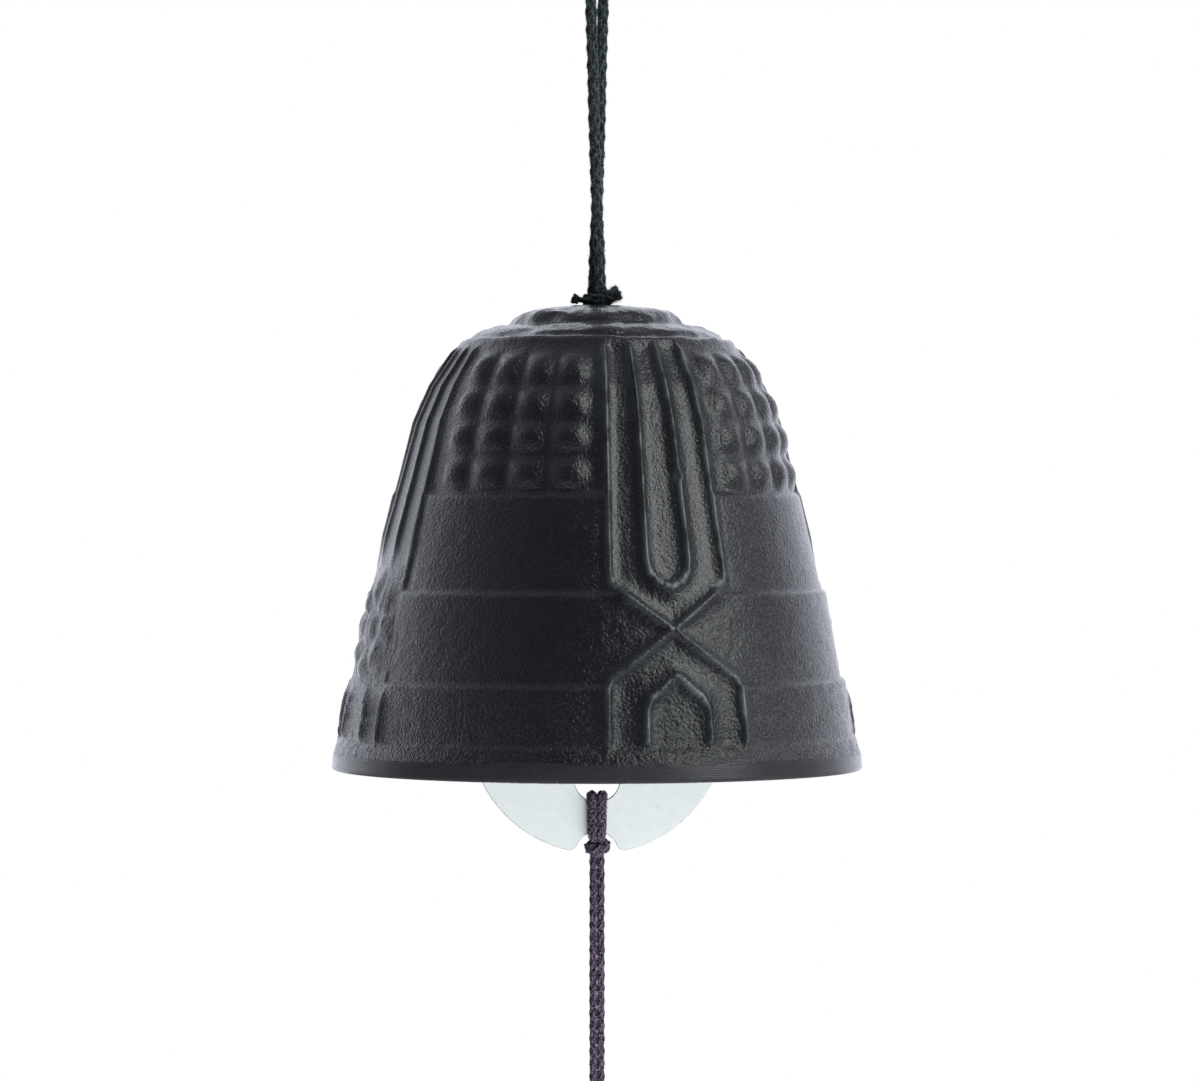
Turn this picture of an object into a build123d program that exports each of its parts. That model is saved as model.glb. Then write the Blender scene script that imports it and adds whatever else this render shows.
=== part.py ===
import os
from math import atan2, cos, degrees, radians, sin, tan
from build123d import *

os.makedirs("parts", exist_ok=True)

# A cast iron wind bell shaped like a small temple bell, with a clapper plate and a paper wind strip.
# The origin is the point of the hanging loop that bears on a hook. Z points up.
# The plate and the strip lie in the XZ plane and face -Y.

# Overall sizes of the casting
mouth_diameter = 67.0
bell_height = 58.6
side_wall = 2.8
crown_wall = 4.6
crown_hole_diameter = 3.8

# Outline of the casting from the rim up, as shares of the mouth radius and of the bell height
lip_shares = [(1.0, 0.0), (1.0, 0.034), (0.976, 0.041)]
base_ring_shares = [(0.97, 0.07)]
low_tier_shares = [(0.934, 0.192), (0.922, 0.198)]
mid_tier_shares = [(0.862, 0.382), (0.846, 0.389)]
high_tier_shares = [(0.761, 0.588), (0.746, 0.597)]
field_shares = [(0.683, 0.746), (0.624, 0.822), (0.512, 0.918)]
boss_row_shares = [(0.732, 0.634), (0.701, 0.708), (0.652, 0.783), (0.583, 0.858)]
crown_shares = [(0.43, 0.945), (0.319, 0.962), (0.304, 0.982), (0.105, 1.0)]
cavity_ceiling_share = 0.34
cavity_sides = 40

# Four bands of raised ribs cross the panels between the base ring and the shoulder.
# Each share is given for a rib's outer edge, then for its inner edge.
band_count = 4
band_turn = 18.0
relief_height = 0.55
loop_width_shares = [0.276, 0.238]
loop_corner_shares = [0.402, 0.418]
loop_tip_shares = [0.303, 0.325]
tongue_width_shares = [0.113, 0.075]
tongue_corner_shares = [0.434, 0.447]
tongue_end_width_shares = [0, 0.03]
tongue_end_shares = [0.374, 0.413]
arch_width_shares = [0.285, 0.247]
arch_shoulder_shares = [0.213, 0.198]
arch_apex_shares = [0.322, 0.299]
panel_width_shares = [0.145, 0.104]
panel_shoulder_shares = [0.169, 0.157]
panel_apex_shares = [0.222, 0.196]

# Rows of bosses in the four fields between the bands
boss_width = 4.1
boss_height = 0.6
boss_sides = 4
boss_slope = 52
boss_column_turns = [-18.7, -6.2, 6.2, 18.7]

# Black hanging cord, doubled, with its loop at the top
hanging_cord_diameter = 1.5
cord_sides = 6
hook_diameter = 6.0
loop_leg = 2.5
loop_taper = 6.5
cord_drop = 50.4
strand_gap = 0.16
arc_room_share = 0.45

# Knots in the black cord, above and below the crown
knot_diameter = 4.2
knot_height = 2.3
knot_turn_height = 1.3
knot_sides = 8
knot_slope = 40
knot_tail_reach = 3.1
knot_tail_rise = 0.85
knot_tail_lift = 0.25
stop_knot_diameter = 5.2
stop_knot_height = 2.4

# Plum cord that carries the clapper and the strip, doubled
plum_cord_diameter = 0.93
plum_strand_gap = 0.08
wrap_width = 2.6
hitch_width = 3.1
hitch_diameter = 1.75

# Clapper plate, alike at top and bottom
plate_diameter = 32.6
plate_thickness = 1.0
plate_rise = 5.6
plate_hole_diameter = 5.8
plate_hole_offset = 6.9
notch_width = 5.6
notch_depth = 2.7
notch_corner_radius = 1.0

# Paper wind strip
strip_width = 40.0
strip_length = 108.0
strip_thickness = 0.4
strip_corner_radius = 0.8
strip_hole_diameter = 4.0
strip_hole_drop = 5.0
strip_cord_length = 31.0
strip_knot_diameter = 2.6
strip_knot_height = 2.0
strip_knot_bevel = 0.6
strip_loop_rise = 1.6

# Clearances
free_clearance = 0.3
seat_clearance = 0.05
cut_overrun = 1.0

mouth_radius = mouth_diameter / 2
crown_z = -cord_drop
rim_z = crown_z - bell_height
ceiling_z = crown_z - crown_wall
plate_z = rim_z + plate_rise


# A point of the casting's section, grown outwards by the given amount
def section_point(shares, growth=0):
    radius_share, height_share = shares
    return (radius_share * mouth_radius + growth, rim_z + height_share * bell_height)


def section_points(table, growth=0):
    return [section_point(shares, growth) for shares in table]


tier_shares = low_tier_shares + mid_tier_shares + high_tier_shares + field_shares
skin_shares = [base_ring_shares[-1], low_tier_shares[0], mid_tier_shares[0], high_tier_shares[0]]
skin_shares += field_shares
shoulder_share = field_shares[-1][1]
base_share = base_ring_shares[-1][1]

# The side of the bell between the base ring and the shoulder, grown by the height of the relief
with BuildPart() as relief_skin:
    with BuildSketch(Plane.XZ):
        with BuildLine():
            skin_points = section_points(skin_shares, relief_height)
            Polyline((0, skin_points[0][1]), *skin_points, (0, skin_points[-1][1]), close=True)
        make_face()
    revolve(axis=Axis.Z)


# Radius of the straight line from the base ring to the shoulder, which the ribs follow
def rib_radius(height_share):
    low_radius_share, low_height_share = base_ring_shares[-1]
    top_radius_share, top_height_share = field_shares[0]
    slope_share = (top_radius_share - low_radius_share) / (top_height_share - low_height_share)
    return mouth_radius * (low_radius_share + slope_share * (height_share - low_height_share))


def rib_point(width_share, height_share, side):
    return (side * width_share * rib_radius(height_share), rim_z + height_share * bell_height)


# Half outlines run down the right-hand side, and their mirror image closes them
def rib_outline(half_outline):
    right = [rib_point(width, height, 1) for width, height in half_outline]
    left = [rib_point(width, height, -1) for width, height in reversed(half_outline) if width]
    return right + left


loop_edges = [
    [(width, shoulder_share), (width, corner), (0, tip)]
    for width, corner, tip in zip(loop_width_shares, loop_corner_shares, loop_tip_shares)
]
tongue_edges = [
    [(width, shoulder_share), (width, corner), (end_width, end)]
    for width, corner, end_width, end in zip(
        tongue_width_shares, tongue_corner_shares, tongue_end_width_shares, tongue_end_shares
    )
]
arch_edges = [
    [(0, apex), (width, shoulder), (width, base_share)]
    for width, shoulder, apex in zip(arch_width_shares, arch_shoulder_shares, arch_apex_shares)
]
panel_edges = [
    [(0, apex), (width, shoulder), (width, base_share)]
    for width, shoulder, apex in zip(panel_width_shares, panel_shoulder_shares, panel_apex_shares)
]

# One band of ribs facing -Y: a long loop round a tongue, crossing an arch round a small panel
with BuildPart() as rib_band:
    with BuildSketch(Plane.XZ):
        for outer_edge, inner_edge in (loop_edges, tongue_edges, arch_edges, panel_edges):
            with BuildLine():
                Polyline(*rib_outline(outer_edge), close=True)
            make_face()
            with BuildLine():
                Polyline(*rib_outline(inner_edge), close=True)
            make_face(mode=Mode.SUBTRACT)
    extrude(amount=mouth_diameter)
    add(relief_skin.part, mode=Mode.INTERSECT)

# One boss: a blunt pillow with four sloping sides, rooted in the wall
with BuildPart() as boss:
    with BuildSketch(Plane.XY.offset(-boss_height)):
        boss_root = boss_width / 2 + boss_height * tan(radians(boss_slope))
        RegularPolygon(boss_root, boss_sides, major_radius=False, rotation=180 / boss_sides)
    extrude(amount=2 * boss_height, taper=boss_slope)

# The hollow inside, closed in by narrow flats all round
cavity_points = [
    (mouth_radius - side_wall, rim_z - cut_overrun),
    (mouth_radius - side_wall, rim_z),
    section_point(mid_tier_shares[-1], -side_wall),
    section_point(high_tier_shares[-1], -side_wall),
    section_point(field_shares[1], -side_wall),
    (cavity_ceiling_share * mouth_radius, ceiling_z),
]
with BuildPart() as cavity:
    for (low_radius, low_z), (high_radius, high_z) in zip(cavity_points, cavity_points[1:]):
        narrowing = (low_radius - high_radius) * cos(radians(180 / cavity_sides))
        with BuildSketch(Plane.XY.offset(low_z)):
            RegularPolygon(low_radius, cavity_sides)
        extrude(amount=high_z - low_z, taper=degrees(atan2(narrowing, high_z - low_z)))

# Bell casting
field_turn = band_turn + 180 / band_count
with BuildPart() as bell_casting:
    with BuildSketch(Plane.XZ):
        with BuildLine():
            side_shares = lip_shares + base_ring_shares + tier_shares + crown_shares
            Polyline((0, rim_z), *section_points(side_shares), (0, crown_z), close=True)
        make_face()
    revolve(axis=Axis.Z)

    for quarter in range(band_count):
        with Locations(Location((0, 0, 0), (0, 0, band_turn + quarter * 360 / band_count))):
            add(rib_band.part)

    boss_places = []
    row_points = [Vector(point) for point in section_points(boss_row_shares)]
    row_ends = [Vector(section_point(high_tier_shares[-1])), Vector(section_point(field_shares[-1]))]
    row_line = row_ends[:1] + row_points + row_ends[1:]
    for below, seat, above in zip(row_line, row_points, row_line[2:]):
        rise = (above - below).normalized()
        for quarter in range(band_count):
            for column_turn in boss_column_turns:
                turn = radians(field_turn + quarter * 360 / band_count + column_turn)
                outward = Vector(sin(turn), -cos(turn), 0)
                place = Plane(
                    origin=outward * seat.X + Vector(0, 0, seat.Y),
                    x_dir=(cos(turn), sin(turn), 0),
                    z_dir=outward * rise.Y - Vector(0, 0, rise.X),
                )
                boss_places.append(place.location)
    with Locations(*boss_places):
        add(boss.part)

    add(cavity.part, mode=Mode.SUBTRACT)
    with Locations((0, 0, crown_z)):
        Cylinder(crown_hole_diameter / 2, 2 * (crown_wall + cut_overrun), mode=Mode.SUBTRACT)

bell_casting.part.label = "bell_casting"
export_step(bell_casting.part, "parts/bell_casting.step")

# Knot on the crown: one turn under a narrower crossing, on the doubled strands that pass through the hole,
# with a cut tail on either side
knot_radius = knot_diameter / 2
stem_radius = crown_hole_diameter / 2 - seat_clearance
with BuildPart() as crown_knot:
    with BuildSketch(Plane.XY.offset(crown_z)):
        RegularPolygon(knot_radius, knot_sides)
    extrude(amount=knot_turn_height)
    with BuildSketch(Plane.XY.offset(crown_z + knot_turn_height)):
        RegularPolygon(knot_radius, knot_sides)
    extrude(amount=knot_height - knot_turn_height, taper=knot_slope)
    with BuildSketch(Plane.XY.offset(crown_z)):
        RegularPolygon(stem_radius, knot_sides)
    extrude(amount=-crown_wall)
    for side in (-1, 1):
        tail_root = Vector(0, 0, crown_z + knot_tail_rise)
        tail_tip = Vector(side * knot_tail_reach, 0, crown_z + knot_tail_rise + knot_tail_lift)
        tail_plane = Plane(origin=tail_root, z_dir=tail_tip - tail_root)
        with BuildSketch(tail_plane):
            RegularPolygon(hanging_cord_diameter / 2, cord_sides, major_radius=False, rotation=90)
        extrude(amount=(tail_tip - tail_root).length)

crown_knot.part.label = "crown_knot"
export_step(crown_knot.part, "parts/crown_knot.step")

# Knot under the crown, which carries the bell
stop_radius = stop_knot_diameter / 2
with BuildPart() as stop_knot:
    with BuildSketch(Plane.XY.offset(ceiling_z)):
        RegularPolygon(stop_radius, knot_sides)
    extrude(amount=-stop_knot_height / 2)
    with BuildSketch(Plane.XY.offset(ceiling_z - stop_knot_height / 2)):
        RegularPolygon(stop_radius, knot_sides)
    extrude(amount=-stop_knot_height / 2, taper=knot_slope)

stop_knot.part.label = "stop_knot"
export_step(stop_knot.part, "parts/stop_knot.step")

# Hanging cord: one tube up from the knot, round the hook's arc and down again
strand_offset = (hanging_cord_diameter + strand_gap) / 2
loop_radius = (hook_diameter + hanging_cord_diameter) / 2
loop_centre_z = -hook_diameter / 2
leg_foot_z = loop_centre_z - loop_leg
strand_top_z = leg_foot_z - loop_taper
knot_reach = (knot_radius**2 + knot_turn_height**2) ** 0.5
strand_end_z = crown_z + max(knot_reach, knot_height) + free_clearance


# Largest arc that each corner of a route has room for
def corner_radii(points):
    radii = []
    for before, corner, after in zip(points, points[1:], points[2:]):
        into = corner - before
        out = after - corner
        half_turn = radians(into.get_angle(out)) / 2
        radii.append(arc_room_share * min(into.length, out.length) / tan(half_turn))
    return radii


right_points = [
    Vector(loop_radius, 0, loop_centre_z),
    Vector(loop_radius, 0, leg_foot_z),
    Vector(strand_offset, 0, strand_top_z),
    Vector(strand_offset, 0, strand_end_z),
]
left_points = [Vector(-point.X, point.Y, point.Z) for point in right_points]
strand_radii = corner_radii(right_points)
print("hanging cord radii", [round(radius, 1) for radius in strand_radii])

with BuildPart() as hanging_cord:
    with BuildLine() as hanging_route:
        FilletPolyline(*reversed(left_points), radius=list(reversed(strand_radii)))
        ThreePointArc(left_points[0], (0, 0, loop_centre_z + loop_radius), right_points[0])
        FilletPolyline(*right_points, radius=strand_radii)
    hanging_wire = hanging_route.wires()[0]
    with BuildSketch(Plane(origin=hanging_wire @ 0, z_dir=hanging_wire % 0)) as hanging_section:
        RegularPolygon(hanging_cord_diameter / 2, cord_sides, major_radius=False, rotation=90)
    sweep(path=hanging_wire)

hanging_cord.part.label = "hanging_cord"
export_step(hanging_cord.part, "parts/hanging_cord.step")
cord_section = hanging_section.sketch.area
print("hanging cord length", round(hanging_wire.length, 2))
print("hanging cord volume share", round(hanging_cord.part.volume / (cord_section * hanging_wire.length), 4))

# Clapper plate: a disc with a hole and an open notch at the top and at the bottom
hole_radius = plate_hole_diameter / 2
notch_radius = notch_width / 2
plate_radius = plate_diameter / 2
notch_apex = plate_radius - notch_depth
with BuildPart() as clapper_plate:
    with BuildSketch(Plane.XZ):
        with Locations((0, plate_z)):
            Circle(plate_radius)
        for side in (-1, 1):
            with Locations((0, plate_z + side * plate_hole_offset)):
                Circle(hole_radius, mode=Mode.SUBTRACT)
            with Locations((0, plate_z + side * (notch_apex + notch_radius))):
                Circle(notch_radius, mode=Mode.SUBTRACT)
    extrude(amount=plate_thickness / 2, both=True)
    mouth_edges = clapper_plate.edges().filter_by(Axis.Y)
    fillet(mouth_edges.filter_by(lambda edge: abs(edge.center().Z - plate_z) > notch_apex), notch_corner_radius)

clapper_plate.part.label = "clapper_plate"
export_step(clapper_plate.part, "parts/clapper_plate.step")

# Plum cord wrapped round the web between hole and notch, and the hitch that lies across the notch
wrap_half = wrap_width / 2
web_inner = plate_hole_offset + (hole_radius**2 - wrap_half**2) ** 0.5 - seat_clearance
web_outer = notch_apex + notch_radius - (notch_radius**2 - wrap_half**2) ** 0.5 + seat_clearance
web_middle = (web_inner + web_outer) / 2
wrap_room = plate_thickness + 2 * seat_clearance
wrap_depth = wrap_room + 2 * plum_cord_diameter
wrap_length = web_outer - web_inner + 2 * plum_cord_diameter
hitch_radius = hitch_diameter / 2
hitch_offset = web_outer + plum_cord_diameter + hitch_radius
for side, wrap_name, hitch_name in ((1, "upper_wrap", "upper_hitch"), (-1, "lower_wrap", "lower_hitch")):
    with BuildPart() as wrap:
        with BuildSketch(Plane.YZ):
            with Locations((0, plate_z + side * web_middle)):
                RectangleRounded(wrap_depth, wrap_length, plum_cord_diameter)
                Rectangle(wrap_room, web_outer - web_inner, mode=Mode.SUBTRACT)
        extrude(amount=wrap_half, both=True)
    wrap.part.label = wrap_name
    export_step(wrap.part, f"parts/{wrap_name}.step")

    with BuildPart() as hitch:
        with BuildSketch(Plane.YZ.offset(-hitch_width / 2)):
            with Locations((0, plate_z + side * hitch_offset)):
                RegularPolygon(hitch_radius, knot_sides)
        extrude(amount=hitch_width)
        chamfer(hitch.faces().filter_by(Axis.X).edges(), plum_cord_diameter / 2)
    hitch.part.label = hitch_name
    export_step(hitch.part, f"parts/{hitch_name}.step")

# The two strands that carry the plate, taut between the stop knot and the upper hitch
plum_offset = (plum_cord_diameter + plum_strand_gap) / 2
upper_hitch_z = plate_z + hitch_offset
lower_hitch_z = plate_z - hitch_offset
stop_reach = (stop_radius**2 + (stop_knot_height / 2) ** 2) ** 0.5
clapper_cord_top = ceiling_z - max(stop_reach, stop_knot_height) - free_clearance
clapper_cord_foot = upper_hitch_z + hitch_radius + free_clearance
with BuildPart() as clapper_cord:
    with BuildSketch(Plane.XY.offset(clapper_cord_foot)):
        with Locations((-plum_offset, 0), (plum_offset, 0)):
            RegularPolygon(plum_cord_diameter / 2, cord_sides, major_radius=False, rotation=90)
    extrude(amount=clapper_cord_top - clapper_cord_foot)

clapper_cord.part.label = "clapper_cord"
export_step(clapper_cord.part, "parts/clapper_cord.step")

# The two strands that hang from the lower hitch, taut under the strip's weight
strip_cord_top = lower_hitch_z - hitch_radius - free_clearance
strip_cord_foot = strip_cord_top - strip_cord_length
with BuildPart() as strip_cord:
    with BuildSketch(Plane.XY.offset(strip_cord_foot)):
        with Locations((-plum_offset, 0), (plum_offset, 0)):
            RegularPolygon(plum_cord_diameter / 2, cord_sides, major_radius=False, rotation=90)
    extrude(amount=strip_cord_length)

strip_cord.part.label = "strip_cord"
export_step(strip_cord.part, "parts/strip_cord.step")

# Knot above the strip
strip_knot_top = strip_cord_foot - free_clearance
strip_knot_foot = strip_knot_top - strip_knot_height
strip_knot_radius = strip_knot_diameter / 2
with BuildPart() as strip_knot:
    with BuildSketch(Plane.XY.offset(strip_knot_foot)):
        RegularPolygon(strip_knot_radius, knot_sides)
    extrude(amount=strip_knot_height)
    chamfer(strip_knot.faces().filter_by(Axis.Z).edges(), strip_knot_bevel)

strip_knot.part.label = "strip_knot"
export_step(strip_knot.part, "parts/strip_knot.step")

# Loop of cord from that knot through the hole in the strip
strip_top = strip_knot_foot - strip_loop_rise
strip_hole_z = strip_top - strip_hole_drop
loop_room = strip_thickness + 2 * seat_clearance
loop_foot = strip_hole_z + strip_hole_diameter / 2 - seat_clearance - plum_cord_diameter
loop_depth = loop_room + 2 * plum_cord_diameter
with BuildPart() as strip_loop:
    with BuildSketch(Plane.YZ):
        with Locations((0, loop_foot)):
            Rectangle(loop_depth, strip_knot_foot - loop_foot, align=(Align.CENTER, Align.MIN))
        with Locations((0, loop_foot + plum_cord_diameter)):
            Rectangle(
                loop_room,
                strip_knot_foot - loop_foot - 2 * plum_cord_diameter,
                align=(Align.CENTER, Align.MIN),
                mode=Mode.SUBTRACT,
            )
    extrude(amount=plum_cord_diameter / 2, both=True)
    fillet(strip_loop.edges().filter_by(Axis.X).group_by(Axis.Z)[0], plum_cord_diameter / 2)

strip_loop.part.label = "strip_loop"
export_step(strip_loop.part, "parts/strip_loop.step")

# Paper strip with its punched hole
with BuildPart() as wind_strip:
    with BuildSketch(Plane.XZ):
        with Locations((0, strip_top - strip_length / 2)):
            RectangleRounded(strip_width, strip_length, strip_corner_radius)
        with Locations((0, strip_hole_z)):
            Circle(strip_hole_diameter / 2, mode=Mode.SUBTRACT)
    extrude(amount=strip_thickness / 2, both=True)

wind_strip.part.label = "wind_strip"
export_step(wind_strip.part, "parts/wind_strip.step")

print("crown", crown_z, "ceiling", ceiling_z, "rim", rim_z, "plate", plate_z)
print("upper hitch", upper_hitch_z, "lower hitch", lower_hitch_z, "strip top", strip_top)
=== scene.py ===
import math

import bpy
import numpy as np
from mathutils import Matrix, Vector


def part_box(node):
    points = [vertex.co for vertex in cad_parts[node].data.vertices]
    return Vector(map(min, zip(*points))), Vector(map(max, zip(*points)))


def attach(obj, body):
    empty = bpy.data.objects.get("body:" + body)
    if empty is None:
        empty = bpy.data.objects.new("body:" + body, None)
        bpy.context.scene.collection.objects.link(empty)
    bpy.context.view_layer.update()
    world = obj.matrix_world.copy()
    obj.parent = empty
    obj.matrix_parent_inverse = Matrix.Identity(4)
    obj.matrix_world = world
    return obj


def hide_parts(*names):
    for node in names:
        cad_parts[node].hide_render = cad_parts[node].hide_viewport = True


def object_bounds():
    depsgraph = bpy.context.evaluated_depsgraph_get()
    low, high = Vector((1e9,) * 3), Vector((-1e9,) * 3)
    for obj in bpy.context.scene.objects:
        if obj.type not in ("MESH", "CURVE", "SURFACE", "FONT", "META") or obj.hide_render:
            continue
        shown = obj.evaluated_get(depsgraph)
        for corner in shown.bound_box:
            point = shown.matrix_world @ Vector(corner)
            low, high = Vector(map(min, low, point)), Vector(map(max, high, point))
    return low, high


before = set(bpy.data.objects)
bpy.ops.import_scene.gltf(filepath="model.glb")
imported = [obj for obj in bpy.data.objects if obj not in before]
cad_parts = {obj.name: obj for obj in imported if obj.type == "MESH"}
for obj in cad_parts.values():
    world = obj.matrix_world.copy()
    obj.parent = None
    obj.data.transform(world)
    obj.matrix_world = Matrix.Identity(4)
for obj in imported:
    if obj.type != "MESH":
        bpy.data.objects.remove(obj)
cadLow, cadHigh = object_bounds()
mm = 0.001
print("frame loaded, box", [round(side / mm, 1) for side in cadHigh - cadLow], "mm")

bellLow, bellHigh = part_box("bell_casting")
rimZ, crownZ = bellLow.z, bellHigh.z


def hexColour(code):
    channels = [int(code[i:i + 2], 16) / 255 for i in (1, 3, 5)]
    linear = [c / 12.92 if c <= 0.04045 else ((c + 0.055) / 1.055) ** 2.4 for c in channels]
    return (*linear, 1.0)


# a node given as a value stands for its first output
def addNode(tree, kind, sockets=None, **settings):
    node = tree.nodes.new(kind)
    for name, value in settings.items():
        setattr(node, name, value)
    for name, value in (sockets or {}).items():
        if isinstance(value, bpy.types.Node):
            value = value.outputs[0]
        if isinstance(value, bpy.types.NodeSocket):
            tree.links.new(value, node.inputs[name])
        else:
            node.inputs[name].default_value = value
    return node


def startMaterial(name):
    material = bpy.data.materials.new(name)
    material.use_nodes = True
    tree = material.node_tree
    tree.nodes.clear()
    return material, tree, addNode(tree, "ShaderNodeTexCoord").outputs["Object"]


def endMaterial(tree, sockets):
    shader = addNode(tree, "ShaderNodeBsdfPrincipled", sockets)
    addNode(tree, "ShaderNodeOutputMaterial", {"Surface": shader})


def startNodes(name, inputs):
    tree = bpy.data.node_groups.new(name, "GeometryNodeTree")
    tree.interface.new_socket("Result", in_out="OUTPUT", socket_type="NodeSocketGeometry")
    for label, kind in inputs.items():
        tree.interface.new_socket(label, in_out="INPUT", socket_type="NodeSocket" + kind)
    return tree, tree.nodes.new("NodeGroupInput").outputs


def endNodes(tree, geometry, material):
    real = addNode(tree, "GeometryNodeRealizeInstances", {"Geometry": geometry})
    dressed = addNode(tree, "GeometryNodeSetMaterial", {"Geometry": real, "Material": material})
    addNode(tree, "NodeGroupOutput", {"Result": dressed})


def newObject(name, data):
    item = bpy.data.objects.new(name, data)
    bpy.context.scene.collection.objects.link(item)
    return item


# what an object's curve settings and modifiers make
def plainMesh(source):
    bpy.context.view_layer.update()
    return bpy.data.meshes.new_from_object(source.evaluated_get(bpy.context.evaluated_depsgraph_get()))


# the modifier's result becomes a plain mesh of its own
def growMesh(name, source, tree, inputs):
    modifier = source.modifiers.new(tree.name, "NODES")
    modifier.node_group = tree
    for item in tree.interface.items_tree:
        if item.item_type == "SOCKET" and item.in_out == "INPUT" and item.name in inputs:
            modifier[item.identifier] = inputs[item.name]
    mesh = plainMesh(source)
    mesh.name = name
    bpy.data.objects.remove(source)
    return mesh


def placeMesh(name, mesh, body, slot, *nodes):
    piece = newObject(name, mesh)
    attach(piece, body)
    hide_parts(*nodes)
    return piece


def joinMeshes(name, meshes):
    objects = [newObject(name, mesh) for mesh in meshes]
    with bpy.context.temp_override(active_object=objects[0], selected_editable_objects=objects):
        bpy.ops.object.join()
    joined = objects[0].data
    joined.name = name
    bpy.data.objects.remove(objects[0])
    return joined


# Sand-cast iron under a thin black baked coat: a dark grainy skin with a dull sheen, paler on its crests, partly where
# the coat is rubbed thin and partly as a painted highlight.
# The lip was turned on a lathe after casting: smoother, with fine level lines; its lighter grey is a painted
# reflection.
ironLook = {
    "dark": "#0d0e11",
    "pale": "#181a1f",
    # the pale crest colour: part rubbed coat, part painted highlight
    "wornAndHighlight": "#5c6466",
    "patchSize": 3.2,
    "grainSize": 0.38,
    "gritSize": 0.18,
    "gritShare": 0.35,
    "grainDepth": 0.1,
    "turningPitch": 0.21,
    "turningDepth": 0.02,
    "sheen": 1.0,
    "roughLow": 0.2,
    "roughHigh": 0.34,
}
# the lip's lighter colours are a painted reflection
lipLook = dict(ironLook, dark="#262629", pale="#313135", sheen=0.5)


def ironMaterial(name, look):
    material, tree, coords = startMaterial(name)
    patches, grain, grit = (
        addNode(tree, "ShaderNodeTexNoise", {"Vector": coords, "Scale": 1 / (look[size] * mm), "Detail": detail})
        for size, detail in (("patchSize", 3.0), ("grainSize", 2.0), ("gritSize", 1.0))
    )
    tones = {0: patches, 6: hexColour(look["dark"]), 7: hexColour(look["pale"])}
    tone = addNode(tree, "ShaderNodeMix", tones, data_type="RGBA")
    # the crests of the ribs are paler, in patches: partly the coat rubbed thin, partly a painted highlight
    wearShare = addNode(tree, "ShaderNodeAttribute", attribute_name="wear").outputs["Fac"]
    patchy = addNode(
        tree, "ShaderNodeMapRange", {"Value": patches, "From Min": 0.42, "From Max": 0.58, "To Min": 0.2}
    )
    rubbed = addNode(tree, "ShaderNodeMath", {0: wearShare, 1: patchy}, operation="MULTIPLY")
    coats = {0: rubbed, 6: tone.outputs[2], 7: hexColour(look["wornAndHighlight"])}
    coat = addNode(tree, "ShaderNodeMix", coats, data_type="RGBA")
    sandShare = addNode(tree, "ShaderNodeAttribute", attribute_name="sand").outputs["Fac"]
    sand = addNode(tree, "ShaderNodeMath", {0: grit, 1: look["gritShare"], 2: grain}, operation="MULTIPLY_ADD")
    sandHeight = addNode(tree, "ShaderNodeMath", {0: sand, 1: sandShare}, operation="MULTIPLY")
    sandBump = addNode(
        tree, "ShaderNodeBump", {"Height": sandHeight, "Distance": look["grainDepth"] * mm, "Strength": 1.0}
    )
    lines = addNode(
        tree,
        "ShaderNodeTexWave",
        {"Vector": coords, "Scale": 1 / (math.pi * look["turningPitch"] * mm), "Distortion": 0.6, "Detail": 2.0},
        bands_direction="Z",
    )
    turnedShare = addNode(tree, "ShaderNodeAttribute", attribute_name="turned").outputs["Fac"]
    lineHeight = addNode(tree, "ShaderNodeMath", {0: lines.outputs["Fac"], 1: turnedShare}, operation="MULTIPLY")
    lineBump = addNode(
        tree,
        "ShaderNodeBump",
        {"Height": lineHeight, "Distance": look["turningDepth"] * mm, "Strength": 1.0, "Normal": sandBump},
    )
    rough = addNode(
        tree,
        "ShaderNodeMapRange",
        {"Value": grain, "From Min": 0.3, "From Max": 0.7, "To Min": look["roughLow"], "To Max": look["roughHigh"]},
    )
    endMaterial(
        tree,
        {"Base Color": coat.outputs[2], "Roughness": rough, "Normal": lineBump, "Specular IOR Level": look["sheen"]},
    )
    return material


# Spun fibre cord: dull, slightly lighter where the yarns stand out, with a soft sheen from loose fibres
def cordMaterial(name, dark, pale, fibreSize):
    material, tree, coords = startMaterial(name)
    fibres = addNode(tree, "ShaderNodeTexNoise", {"Vector": coords, "Scale": 1 / (fibreSize * mm), "Detail": 3.0})
    specks = addNode(tree, "ShaderNodeMapRange", {"Value": fibres, "From Min": 0.4, "From Max": 0.62})
    tone = addNode(tree, "ShaderNodeMix", {0: specks, 6: hexColour(dark), 7: hexColour(pale)}, data_type="RGBA")
    bump = addNode(tree, "ShaderNodeBump", {"Height": fibres, "Distance": fibreSize * mm / 2, "Strength": 0.8})
    endMaterial(
        tree,
        {
            "Base Color": tone.outputs[2],
            "Roughness": 0.85,
            "Specular IOR Level": 0.3,
            "Sheen Weight": 0.25,
            "Sheen Roughness": 0.5,
            "Normal": bump,
        },
    )
    return material


# Rolled aluminium sheet, pickled pale and dull, with faint clouds and a few fine scratches; faces on the edge that
# turn away from front and back are darker, as painted shade
plateLook = {
    "dark": "#e7edec",
    "pale": "#f7fbfa",
    "scratch": "#b9c2c0",
    "cloudSize": 0.8,
    "scratchWidth": 0.35,
    "scratchStretch": 10.0,
    "scratchTurn": 0.5,
    "rollSize": 0.4,
    "rollStretch": 0.15,
    "rollDepth": 0.02,
}
# the same sheet coloured darker, as painted shade on its edge
edgeLook = dict(plateLook, dark="#6f7675", pale="#959c9a", scratch="#7c8382")


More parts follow.
